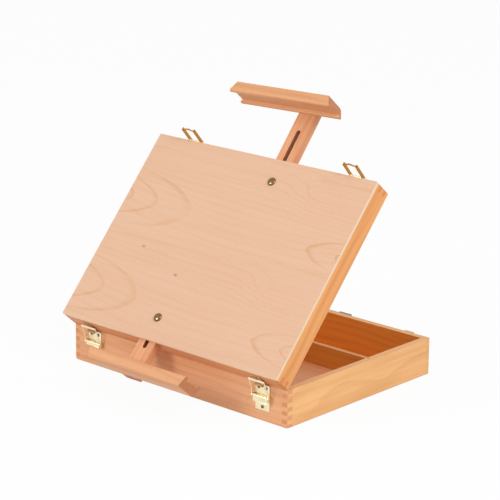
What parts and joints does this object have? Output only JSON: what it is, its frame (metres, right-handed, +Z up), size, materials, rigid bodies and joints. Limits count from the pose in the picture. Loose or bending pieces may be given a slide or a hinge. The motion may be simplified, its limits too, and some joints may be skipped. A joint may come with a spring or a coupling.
{
  "type": "box easel",
  "caption": "Table-top box easel: finger-jointed wooden box with a tilting board lid, a sliding mast with top clamp, a sliding canvas ledge and draw latches.",
  "frame": {"origin": "centre of the box's underside", "axes": "+X to the right, +Y to the back, away from the lid's hinge edge, +Z up"},
  "size_m": [0.4, 0.3892, 0.3901],
  "materials": {
    "box_board": "sanded, clear satin",
    "lid_rail": "sanded, clear satin",
    "plywood": "sanded, clear satin",
    "thin_board": "sanded, clear satin",
    "bar_wood": "sanded, clear satin",
    "arm_wood": "sanded, clear satin",
    "brass": "bright brass plate",
    "zinc": "bright zinc"
  },
  "bodies": {
    "box": {"box_front_wall": "box_board", "box_rear_wall": "box_board", "box_left_wall": "box_board", "box_right_wall": "box_board", "box_floor": "thin_board", "long_divider": "thin_board", "tray_cleats": "box_board", "tray_board": "thin_board", "front_latch_base_left": "brass", "front_latch_base_right": "brass", "front_latch_screws": "brass", "rear_catch_left": "brass", "rear_catch_right": "brass", "rear_catch_screws": "brass", "handle_bracket_left": "zinc", "handle_bracket_right": "zinc", "handle_screws": "zinc", "stay_track": "brass", "stay_track_screws": "brass"},
    "lid": {"lid_front_rail": "lid_rail", "lid_rear_rail": "lid_rail", "lid_left_rail": "lid_rail", "lid_right_rail": "lid_rail", "drawing_panel": "plywood", "front_catch_left": "brass", "front_catch_right": "brass", "front_catch_screws": "brass", "rear_latch_base_left": "brass", "rear_latch_base_right": "brass", "rear_latch_screws": "brass", "upper_carriage_bolt": "zinc", "lower_carriage_bolt": "zinc", "stay_pivot": "brass"},
    "upper_swivel": {"upper_washer": "zinc"},
    "mast": {"upper_mast": "arm_wood", "top_clamp": "bar_wood", "clamp_screws": "brass"},
    "lower_swivel": {"lower_washer": "zinc"},
    "ledge": {"lower_arm": "arm_wood", "canvas_ledge": "bar_wood", "ledge_screws": "brass"},
    "upper_wing_nut": {"upper_wing_nut": "zinc"},
    "lower_wing_nut": {"lower_wing_nut": "zinc"},
    "front_lever_left": {"front_latch_lever_left": "brass"},
    "front_lever_right": {"front_latch_lever_right": "brass"},
    "front_bail_left": {"front_latch_bail_left": "brass"},
    "front_bail_right": {"front_latch_bail_right": "brass"},
    "rear_lever_left": {"rear_latch_lever_left": "brass"},
    "rear_lever_right": {"rear_latch_lever_right": "brass"},
    "rear_bail_left": {"rear_latch_bail_left": "brass"},
    "rear_bail_right": {"rear_latch_bail_right": "brass"},
    "handle": {"handle": "zinc"},
    "stay_strut": {"stay_arm": "brass", "stay_pin": "brass"},
    "stay_thumb_nut": {"stay_thumb_nut": "brass"}
  },
  "joints": [
    {"name": "lid_tilt", "type": "hinge", "parent": "box", "child": "lid", "pos_m": [0, -0.149, 0.0533], "axis": [1, 0, 0], "range_deg": [-49, 8]},
    {"name": "stay_fold", "type": "hinge", "parent": "lid", "child": "stay_strut", "pos_m": [-0.184, -0.10882, 0.11781], "axis": [1, 0, 0], "range_deg": [-16.1, 98.1]},
    {"name": "stay_nut_turn", "type": "hinge", "parent": "stay_strut", "child": "stay_thumb_nut", "pos_m": [-0.18, -0.08169, 0.04682], "axis": [1, 0, 0], "continuous": true},
    {"name": "mast_swing", "type": "hinge", "parent": "lid", "child": "upper_swivel", "pos_m": [0.034, 0.01288, 0.26238], "axis": [0, -0.7547, 0.6561], "range_deg": [-3.25, 0.75]},
    {"name": "mast_slide", "type": "slide", "parent": "upper_swivel", "child": "mast", "axis": [-0.0305, 0.6558, 0.7544], "range_m": [-0.07, 0.15]},
    {"name": "upper_nut_turn", "type": "hinge", "parent": "lid", "child": "upper_wing_nut", "pos_m": [0.034, 0.01816, 0.25779], "axis": [0, -0.7547, 0.6561], "continuous": true},
    {"name": "ledge_swing", "type": "hinge", "parent": "lid", "child": "lower_swivel", "pos_m": [-0.034, -0.13801, 0.0888], "axis": [0, -0.7547, 0.6561], "range_deg": [-1.5, 1.5]},
    {"name": "ledge_slide", "type": "slide", "parent": "lower_swivel", "child": "ledge", "axis": [0, 0.6561, 0.7547], "range_m": [-0.03, 0.033]},
    {"name": "lower_nut_turn", "type": "hinge", "parent": "lid", "child": "lower_wing_nut", "pos_m": [-0.034, -0.13273, 0.08421], "axis": [0, -0.7547, 0.6561], "continuous": true},
    {"name": "front_lever_left_lift", "type": "hinge", "parent": "box", "child": "front_lever_left", "pos_m": [-0.1575, -0.1532, 0.0352], "axis": [-1, 0, 0], "range_deg": [0, 160]},
    {"name": "front_bail_left_turn", "type": "hinge", "parent": "box", "child": "front_bail_left", "pos_m": [-0.1575, -0.1532, 0.0352], "axis": [1, 0, 0], "range_deg": [-20.1, 3.4]},
    {"name": "front_lever_right_lift", "type": "hinge", "parent": "box", "child": "front_lever_right", "pos_m": [0.1575, -0.1532, 0.0352], "axis": [-1, 0, 0], "range_deg": [0, 160]},
    {"name": "front_bail_right_turn", "type": "hinge", "parent": "box", "child": "front_bail_right", "pos_m": [0.1575, -0.1532, 0.0352], "axis": [1, 0, 0], "range_deg": [-20.1, 3.4]},
    {"name": "rear_lever_left_lift", "type": "hinge", "parent": "lid", "child": "rear_lever_left", "pos_m": [-0.138, 0.03341, 0.29515], "axis": [-1, 0, 0], "range_deg": [-160, 0]},
    {"name": "rear_bail_left_turn", "type": "hinge", "parent": "lid", "child": "rear_bail_left", "pos_m": [-0.138, 0.03341, 0.29515], "axis": [1, 0, 0], "range_deg": [-172, 0]},
    {"name": "rear_lever_right_lift", "type": "hinge", "parent": "lid", "child": "rear_lever_right", "pos_m": [0.158, 0.03341, 0.29515], "axis": [-1, 0, 0], "range_deg": [-160, 0]},
    {"name": "rear_bail_right_turn", "type": "hinge", "parent": "lid", "child": "rear_bail_right", "pos_m": [0.158, 0.03341, 0.29515], "axis": [1, 0, 0], "range_deg": [-172, 0]},
    {"name": "handle_swing", "type": "hinge", "parent": "box", "child": "handle", "pos_m": [0, 0.1523, 0.0504], "axis": [1, 0, 0], "range_deg": [0, 170]}
  ],
  "couplings": [
    {"joint": "stay_fold", "follows": "lid_tilt", "ratio": -2},
    {"joint": "front_bail_left_turn", "follows": "lid_tilt", "ratio": 0.40816},
    {"joint": "front_bail_right_turn", "follows": "lid_tilt", "ratio": 0.40816}
  ]
}
